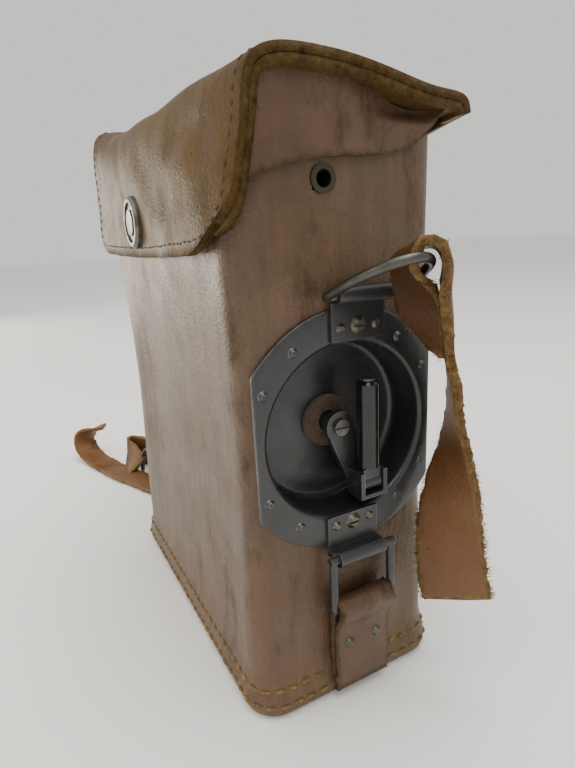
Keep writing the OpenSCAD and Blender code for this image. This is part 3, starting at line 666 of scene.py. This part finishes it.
def cover_point(u, v, rounding=1.0):
    """The cover's outer face: u is -1..1 across X, v is 0..1 from the front edge over the top to the back."""
    k = np.clip(v, 0, 1) * (PROFILE_ROWS - 1)
    right, left, mid = (profile_at(line, k) for line in (right_line, left_line, mid_line))
    end = np.where((u > 0)[:, None], right, left)
    side = np.abs(u)
    front = np.clip(1 - v * 4.2, 0, 1) ** 0.7
    tight = (np.maximum(side - 0.72, 0) / 0.28) ** 1.7
    tight = np.where(u > 0, tight, side ** 1.6)
    loose = side ** 1.7
    share = front * tight + (1 - front) * loose
    y = mid[:, 0] + (end[:, 0] - mid[:, 0]) * share
    low_share = np.where(side < 0.8, 0.14 * (side / 0.8) ** 2,
                         0.14 + 0.86 * (np.maximum(side - 0.8, 0) / 0.2) ** 1.8)
    z = mid[:, 1] + (end[:, 1] - mid[:, 1]) * (front * low_share + (1 - front) * loose)
    corner_r = np.where(u > 0, FRONT_CORNER_R, FAR_CORNER_R)
    corner = np.clip(1 - v * COVER_RUN / corner_r, 0, 1)
    half = COVER_X + 1.0 - rounding * corner_r * 0.7 * (1 - np.sqrt(np.clip(1 - corner ** 2, 0, 1)))
    p = np.column_stack([u * half, y, z])
    top = np.clip((v - 0.2) * 6, 0, 1)
    p[:, 2] += wobble(p, 0.75, 52, 5) * top
    p[:, 1] += (wobble(p, 0.55, 46, 9) + wobble(p, 0.22, 17, 12)) * np.clip((0.33 - v) * 9, 0, 1)
    folds = np.sin(u * 9 + v * 30) + 0.6 * np.sin(u * 21 - v * 22 + 1)
    where = np.exp(-((u - 0.5) / 0.3) ** 2) * np.clip(v * 14, 0, 1) * np.clip((0.34 - v) * 9, 0, 1)
    p[:, 1] += 0.75 * folds * where
    return p


us = np.unique(np.concatenate([np.linspace(-1, 1, 101), [-0.995, 0.995, -0.985, 0.985, -0.97, 0.97]]))
vs = np.unique(np.concatenate([np.linspace(0, 1, 100), [0.003, 0.007]]))
cover = np.array([cover_point(us, np.full(len(us), v)) for v in vs])
cover_n = normals_of(np.array([cover_point(us, np.full(len(us), v), 0.0) for v in vs]))
if cover_n[len(vs) // 2, len(us) // 2, 2] < 0:
    cover_n = -cover_n
COVER_T = 3.0
inner = cover - cover_n * COVER_T


def sheet_solid(outer, lower, edge_value):
    """A closed skin from two matching grids."""
    r, c = outer.shape[:2]
    verts = np.vstack([outer.reshape(-1, 3), lower.reshape(-1, 3)])
    n = r * c
    faces = [f[::-1] for f in grid_faces(r, c)] + grid_faces(r, c, start=n)
    border = ([(0, j) for j in range(c)] + [(i, c - 1) for i in range(1, r)]
              + [(r - 1, j) for j in range(c - 2, -1, -1)] + [(i, 0) for i in range(r - 2, 0, -1)])
    ids = [i * c + j for i, j in border]
    faces += [(a, b, b + n, a + n) for a, b in zip(ids, ids[1:] + ids[:1])]
    return verts, faces, np.concatenate([edge_value.reshape(-1), edge_value.reshape(-1)])


U, V = np.meshgrid(us, vs)
from_side = (1 - np.abs(U)) * COVER_X
from_low = V * COVER_RUN
edge = np.maximum(np.exp(-(from_side / 2.2) ** 2), np.exp(-(from_low / 2.0) ** 2))
ridge = 0.3 * np.exp(-((V - 0.36) / 0.05) ** 2) * (np.abs(U) > 0.6)
cv, cf, ce = sheet_solid(cover, inner, np.clip(edge + ridge, 0, 1))
cover_piece = make("cover_skin", cv, cf, COVER_LEATHER, ce)
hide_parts("cover_leather")
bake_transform(cover_piece)

# the second layer sewn under each rim; one piece a side, and the right one stands for the CAD's pair
for sign in (-1, 1):
    lane = np.linspace(0.905, 0.998, 6) * sign
    rows_v = vs[vs > 0.02]
    top = np.array([cover_point(lane, np.full(len(lane), v)) for v in rows_v])
    nn = normals_of(np.array([cover_point(lane, np.full(len(lane), v), 0.0) for v in rows_v]))
    nn = nn if nn[len(rows_v) // 2, 2, 2] > 0 else -nn
    upper, lower = top - nn * 3.15, top - nn * 6.2
    lower[:, :, 0] -= sign * 0.3
    if sign < 0:
        upper, lower = upper[:, ::-1], lower[:, ::-1]
    near_rim = np.exp(-((1 - np.abs(lane)) * COVER_X / 1.8) ** 2)[::(1 if sign > 0 else -1)]
    outer_edge = np.tile(near_rim, (len(rows_v), 1))
    wv, wf, we = sheet_solid(upper, lower, outer_edge)
    welt = make("cover_welt_right" if sign > 0 else "cover_welt_left", wv, wf, COVER_LEATHER, we)
    if sign > 0:
        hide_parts("cover_welts")
    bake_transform(welt)


def inset_path(inset):
    """A line on the cover's outer face, inset from its rim: up one end's rim, and along the front edge."""
    side = 1 - inset / COVER_X
    low = inset / COVER_RUN
    right = [(side, v) for v in np.linspace(0.93, low + 0.05, 90)]
    bend = [(side - 0.05 * (1 - math.cos(a)), low + 0.05 * (1 - math.sin(a)))
            for a in np.linspace(0, math.pi / 2, 10)]
    bottom = [(u, low) for u in np.linspace(side - 0.06, -(side - 0.06), 80)]
    whole = right + bend + bottom + [(-u, v) for u, v in bend[::-1]] + [(-u, v) for u, v in right[::-1]]
    return np.array(whole)


def on_cover(path):
    """Points and unit normals on the cover for (u, v) rows."""
    p = np.vstack([cover_point(np.array([u]), np.array([v])) for u, v in path])
    e = 0.004
    here, du, dv = (np.vstack([cover_point(np.array([u + a]), np.array([v + b]), 0.0) for u, v in path])
                    for a, b in ((0, 0), (e, 0), (0, e)))
    du, dv = du - here, dv - here
    n = np.cross(du, dv)
    n /= np.linalg.norm(n, axis=1, keepdims=True)
    return p, n


SEAM_INSET = 4.6
path = inset_path(SEAM_INSET)
sewn, sewn_n = on_cover(path)
flip = np.sign((sewn_n * (sewn - np.array([0, 0, 215]))).sum(1))
rows_cover = stitches("cover_stitches", sewn, sewn_n * flip[:, None], 4.4, 3.0, 0.42, DARK_THREAD, 31, 0.1)
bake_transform(rows_cover)

# end panels under the rims
GUSSET_LOW = [(-40.5, 213.5), (-35, 216.5), (-30, 217.8), (-22.6, 219.8), (-11, 221.8), (5, 222.8),
              (20, 223.8), (29, 226.6), (36, 232.5), (43, 239.5)]
GUSSET_X, GUSSET_HALF_T = 92.6, 1.25
low_line = smooth([(0, y, z) for y, z in GUSSET_LOW], 1.5)
for sign in (-1, 1):
    cols = []
    ends = even((right_line if sign > 0 else left_line)[2:-18], 300)
    for _, y, z in low_line:
        near = np.interp(y, ends[:, 1], ends[:, 2]) - 3.2
        heights = z + (max(near, z + 1.5) - z) * np.linspace(0, 1, 16)
        lean = 0.9 * np.sin(np.linspace(0, math.pi, 16)) * (1 - abs(y) / 60)
        curl = np.clip((y - 24) / 18, 0, 1) ** 2 * 4.5 * (1 - np.linspace(0, 1, 16)) ** 2
        hollow = 6.0 * math.exp(-((y - 28) / 14) ** 2) * np.clip((heights - 233.5) / 4, 0, 1)
        cols.append([(sign * (GUSSET_X + lean[i] * 0.8 + curl[i] - hollow[i]), y, h)
                     for i, h in enumerate(heights)])
    panel = np.array(cols)
    outer_face = panel + np.array([sign * GUSSET_HALF_T, 0, 0])
    inner_face = panel - np.array([sign * GUSSET_HALF_T, 0, 0])
    if sign > 0:
        outer_face, inner_face = outer_face[::-1], inner_face[::-1]
    low_edge = np.tile(np.exp(-(np.arange(16) / 1.1) ** 2), (len(cols), 1))
    gv, gf, ge = sheet_solid(outer_face, inner_face, low_edge)
    side_name = "right" if sign > 0 else "left"
    gusset = make(f"cover_end_{side_name}", gv, gf, TAB_LEATHER, ge)
    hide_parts(f"gusset_{side_name}")
    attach(gusset, "cover")


# ---------------------------------------------------------------- crank well and flange
def flange_reach(angle):
    """The flange's radius at an angle: a circle cut flat at front and rear."""
    c = abs(math.cos(angle))
    flat = FLANGE_FLAT / c if c > 1e-6 else 1e9
    return min(FLANGE_R, flat)


LIP = 2.6
SIDES = 180
profile = [(WELL_FLOOR, r) for r in (SHAFT_HOLE_R, 8, 14, 20, 26, 30)]
for a in np.linspace(0, math.pi / 2, 6):
    profile.append((WELL_FLOOR + 3.4 * (1 - math.cos(a)), 32.0 + 3.4 * math.sin(a)))
profile += [(x, WELL_R) for x in np.linspace(WELL_FLOOR + 6, FLANGE_FACE - LIP - 0.6, 4)]
for a in np.linspace(0, math.pi / 2, 7):
    profile.append((FLANGE_FACE - LIP * (1 - math.sin(a)), WELL_R + LIP * (1 - math.cos(a))))
turns = np.linspace(0, 2 * math.pi, SIDES, endpoint=False)
verts, rows_count = [], 0
for x, r in profile:
    verts += [(x, r * math.cos(t), CRANK_Z + r * math.sin(t)) for t in turns]
    rows_count += 1
inner_r = profile[-1][1]
for share, x in [(0.35, 0), (0.7, 0), (0.93, 0), (0.98, -0.12), (1.0, -0.45), (1.0, -FLANGE_T)]:
    for t in turns:
        reach = flange_reach(t)
        r = inner_r + (reach - inner_r) * share
        verts.append((FLANGE_FACE + x, r * math.cos(t), CRANK_Z + r * math.sin(t)))
    rows_count += 1
plate = make("crank_well_plate", verts, [f[::-1] for f in grid_faces(rows_count, SIDES, True)], BLACK_STEEL)
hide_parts("crank_well")
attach(plate, "case")
back_profile = [(WELL_FLOOR - 1.5, SHAFT_HOLE_R), (WELL_FLOOR - 1.5, 30), (WELL_FLOOR + 0.6, 34.6),
                (WELL_FLOOR + 4, WELL_R + 1.2), (HALF_W, WELL_R + 1.2)]
back = lathe_x("crank_well_back", back_profile, (0, CRANK_Z), BLACK_STEEL)
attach(back, "case")

# ---------------------------------------------------------------- leather tabs over the lower links
for sign in (-1, 1):
    name = "right" if sign > 0 else "left"
    mid_y = (TAB_LOW[1] + TAB_HIGH[1]) / 2
    base_x, front_x = HALF_W + 1.6, HALF_W + 5.2
    z_wire = LINK_LOW[2] + WIRE_R
    loop = [(base_x, 3.0), (base_x, 20), (base_x + 0.2, 36), (BAR_X - 3.6, z_wire - 3.4),
            (BAR_X - 3.7, z_wire + 1.0), (BAR_X - 1.4, z_wire + 3.4), (BAR_X + 2.0, z_wire + 2.9),
            (BAR_X + 3.5, z_wire - 0.6), (BAR_X + 2.0, z_wire - 5), (front_x + 0.8, z_wire - 9.5),
            (front_x, 31), (front_x, 20), (front_x, 11), (front_x - 0.5, 5.0)]
    rows_tab = [(sign * x, mid_y, z, 90, 1.0) for x, z in loop]
    tab_width = TAB_HIGH[1] - TAB_LOW[1] - 1.5
    tab, *_ = strap(f"link_tab_{name}", rows_tab, tab_width, 2.6, TAB_LEATHER, 0.9, 0.12, 8)
    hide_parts(f"tab_{name}")
    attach(tab, "case")

# ---------------------------------------------------------------- rings, as round wire
HINGE_Z = span("upper_clip_right")[1][2] - WIRE_R - 1.5
RING_MID_Y = (RING[0][1] + RING[1][1]) / 2
RING_HALF = (RING[1][1] - RING[0][1]) / 2 - WIRE_R
RING_LEN = 32.0
lift = math.degrees(math.atan2(RING[1][2] - WIRE_R - HINGE_Z, RING[1][0] - WIRE_R - BAR_X))
left_low = span("ring_left")[0]
drop = math.degrees(math.atan2(left_low[2] + WIRE_R - HINGE_Z, -(left_low[0] + WIRE_R) - BAR_X))
for sign, angle, name in [(1, lift, "right"), (-1, drop, "left")]:
    c, s = math.cos(math.radians(angle)), math.sin(math.radians(angle))
    line = []
    for t in np.linspace(0, math.pi, 15):
        reach, side = RING_LEN * math.sin(t), RING_HALF * math.cos(t)
        line.append((sign * (BAR_X + reach * c), RING_MID_Y + side, HINGE_Z + reach * s))
    line += [(sign * BAR_X, RING_MID_Y + k * RING_HALF, HINGE_Z) for k in (-0.6, 0.0, 0.6)]
    ring = wire(f"strap_ring_{name}", line, WIRE_R, RING_STEEL, closed=True)
    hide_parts(f"ring_{name}")
    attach(ring, f"{name}_ring")

# ---------------------------------------------------------------- straps
STRAP_T, FAR_STRAP_W, TAIL_W = 3.0, 26, 20
RIGHT_STRAP_W, RIGHT_STRAP_T = 25.0, 3.8
right_path = [
    (112.5, 28.6, 151.5, 0, 0.16), (110.4, 24.6, 160, 10, 0.5), (109.2, 20.6, 168, 15, 0.76),
    (111.0, 16.6, 176, 7, 0.78), (112.6, 12.0, 182.6, -5, 0.72), (114.4, 9.8, 187.6, -20, 0.66),
    (117.2, 12.6, 192.6, (0.78, -0.6, 0.12), 0.68), (120.2, 17.2, 192.0, (0.74, -0.66, 0.1), 0.74),
    (121.4, 19.9, 185.6, -45, 0.84), (119.4, 21.6, 177, -44, 0.95), (116.4, 25.8, 166, -43, 0.98),
    (112.6, 30.8, 155, -41, 0.95), (109.8, 36.6, 140, -39, 0.92), (108.2, 40.2, 124, -33, 0.9),
    (108.4, 39.8, 108, -12, 0.92), (109.6, 37.8, 92, 14, 1.0), (111, 36, 76, 32, 1.06),
    (112.4, 36.2, 60, 40, 1.1), (113.6, 39, 44, 44, 1.12)]
right_strap, left_side, right_side, across, _ = strap("carry_strap_right", right_path, RIGHT_STRAP_W,
                                                      RIGHT_STRAP_T, STRAP_LEATHER, 1.0, 0.35, 2)
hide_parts("strap_right")
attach(right_strap, "right_ring")
right_fuzz = fuzz("strap_fuzz_right", [(left_side, -across), (right_side, across)], 1300, 2.6, FLESH_LEATHER)
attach(right_fuzz, "right_ring")

# the far side's strap is one piece: down from its ring, then on its edge along the ground and folded back
fold_low, fold_high = span("strap_fold")
FOLD_Z = (fold_high[2] - fold_low[2]) / 2 + 1.4
drop_path = [(-103, 4, 149, (0, 1, 0), 1.0), (-104.6, 4, 141.5, (0, 1, 0), 1.0),
             (-105, 4, 120, (0, 1, 0), 1.0), (-106, 3, 95, (0, 1, 0.03), 1.0),
             (-109, 0, 70, (0, 1, 0.15), 1.0), (-114, -3, 50, (0, 1, 0.5), 1.0),
             (-122, -4, 33, (0, 0.8, 0.9), 1.0), (-134, -5, 21, (0, 0.35, 1), 1.0),
             (-150, -7, FOLD_Z + 1, (0, 0, 1), 1.0), (-175, -9.5, FOLD_Z, (0, 0, 1), 1.0),
             (-197, -15, FOLD_Z, (0, 0, 1), 1.0), (-209, -21.5, FOLD_Z, (0, 0.05, 1), 1.0),
             (-215, -27, FOLD_Z, (0, 0.1, 1), 1.0), (-215.6, -31.4, FOLD_Z, (0, 0.1, 1), 1.0),
             (-211, -34, FOLD_Z - 1, (0.1, 0.2, 1), 0.98), (-200, -33.2, FOLD_Z - 2, (0.2, 0.45, 1), 0.9),
             (-188, -31.5, FOLD_Z - 6, (0.2, 0.9, 0.8), 0.8)]
left_strap, *_ = strap("carry_strap_left", drop_path, FAR_STRAP_W, STRAP_T, STRAP_LEATHER, 1.0, 0.35, 4)
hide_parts("strap_left", "strap_fold")
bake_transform(left_strap)
tail_path = [(-146, -21.5, 2.8, -66, 1.0), (-160, -28, 2.8, -66, 1.0), (-178, -36, 2.8, -67, 1.0),
             (-195, -43.7, 2.8, -68, 1.0), (-222, -52.5, 2.9, -70, 1.0), (-242, -59, 4, -72, 1.0),
             (-256, -63.5, 10, -76, 1.0), (-262, -63, 19, -74, 1.0), (-262, -55, 25, -60, 1.0),
             (-259, -45, 27.5, -50, 0.9)]
tail, *_ = strap("strap_tail_leather", tail_path, TAIL_W, STRAP_T, STRAP_LEATHER, 1.0, 0.3, 6)
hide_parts("strap_tail")
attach(tail, "case")
hook = wire("strap_hook_wire", [(-196, -26, 1.8), (-193.5, -25.8, 10), (-187, -25.5, 19.5), (-178, -25, 26),
                                (-166, -24.5, 30.5), (-152, -24, 32), (-140, -23.5, 27), (-135, -23.3, 15),
                                (-134.5, -23.2, 1.8)], WIRE_R, HOOK_STEEL)
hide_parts("strap_hook")
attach(hook, "case")

# ---------------------------------------------------------------- finishes on the CAD pieces that stay
FINISH = {
    "case_leather": CASE_LEATHER, "cover_leather": COVER_LEATHER, "strap_leather": STRAP_LEATHER,
    "felt": FELT, "black_steel": BLACK_STEEL, "plated_steel": PLATED, "bright_steel": BRIGHT, "brass": BRASS,
    "grip_plastic": GRIP, "handset_plastic": HANDSET, "magnet_steel": CAST, "coil_wire": COIL,
    "battery_sleeve": SLEEVE, "can": CAN}
slots = {part["node"]: part["material_slot"] for part in frame["record"]["subparts"]}
DARK_RIVET = metal("dark rivet", (0.15, 0.14, 0.11), (0.05, 0.048, 0.036), 0.34)
own = {"strap_hook": HOOK_STEEL, "cord_eyelet": EYELET_BRASS, "well_rivets": BLACK_STEEL,
       "clip_fasteners_right": DARK_RIVET, "clip_fasteners_left": DARK_RIVET}
for node, slot_name in slots.items():
    piece = bpy.data.objects.get(node)
    if piece is None or piece.type != "MESH":
        continue
    finish = own.get(node, FINISH[slot_name])
    if not piece.material_slots:
        piece.data.materials.append(finish)
    for part in piece.material_slots:
        part.material = finish

# ---------------------------------------------------------------- stage, light and camera
floor_mesh = bpy.data.meshes.new("floor")
REACH = 6.0
floor_corners = [(-REACH, -REACH, 0), (REACH, -REACH, 0), (REACH, REACH, 0), (-REACH, REACH, 0)]
floor_mesh.from_pydata(floor_corners, [], [(0, 1, 2, 3)])
floor = bpy.data.objects.new("floor", floor_mesh)
bpy.context.scene.collection.objects.link(floor)
paper = Shade("pale paper")
floor_mesh.materials.append(paper.finish(
    paper.mix(paper.noise(3), (0.86, 0.86, 0.85), (0.89, 0.89, 0.88)), 0.7, Specular_IOR_Level=0.2))

world = bpy.data.worlds.new("studio")
world.use_nodes = True
sky = world.node_tree
backdrop = sky.nodes["Background"]
backdrop.inputs["Color"].default_value = (1.0, 0.99, 0.965, 1)
backdrop.inputs["Strength"].default_value = 0.86
bpy.context.scene.world = world


def softbox(name, place, aim, size, power, colour):
    """A soft rectangular light at place, facing aim; metres and watts."""
    lamp = bpy.data.lights.new(name, "AREA")
    lamp.shape = "RECTANGLE"
    lamp.size, lamp.size_y = size
    lamp.energy = power
    lamp.color = colour
    holder = bpy.data.objects.new(name, lamp)
    holder.location = place
    holder.rotation_euler = (Vector(aim) - Vector(place)).to_track_quat("-Z", "Y").to_euler()
    bpy.context.scene.collection.objects.link(holder)


softbox("key", (-1.25, -0.7, 0.14), (0, -0.04, 0.12), (0.9, 0.6), 12, (1.0, 0.92, 0.78))
softbox("window", (0.95, -0.45, 1.2), (0.05, 0, 0.12), (0.35, 0.5), 3, (1.0, 0.98, 0.95))
softbox("front", (-0.3, -1.3, 1.0), (0, 0, 0.15), (0.9, 0.7), 5, (1.0, 0.9, 0.76))
softbox("top", (0.15, 0.1, 1.6), (0, 0, 0.1), (1.0, 1.0), 20, (1.0, 0.95, 0.88))

CAMERA_PLACE = (0.2558, -0.1116, 0.19835)
AZIMUTH, ELEVATION, ROLL = math.radians(62.5), math.radians(15.81), math.radians(-2.95)
camera = bpy.data.cameras.new("camera")
camera.sensor_width = 36
camera.lens = 25.05
camera.clip_start = 0.01
eye = bpy.data.objects.new("camera", camera)
back_axis = Vector((math.sin(AZIMUTH) * math.cos(ELEVATION), -math.cos(AZIMUTH) * math.cos(ELEVATION),
                    math.sin(ELEVATION)))
level_right = Vector((math.cos(AZIMUTH), math.sin(AZIMUTH), 0))
level_up = back_axis.cross(level_right)
right_axis = level_right * math.cos(ROLL) + level_up * math.sin(ROLL)
up_axis = -level_right * math.sin(ROLL) + level_up * math.cos(ROLL)
eye.matrix_world = Matrix([(right_axis[k], up_axis[k], back_axis[k], CAMERA_PLACE[k]) for k in range(3)]
                          + [(0, 0, 0, 1)])
bpy.context.scene.collection.objects.link(eye)
bpy.context.scene.camera = eye
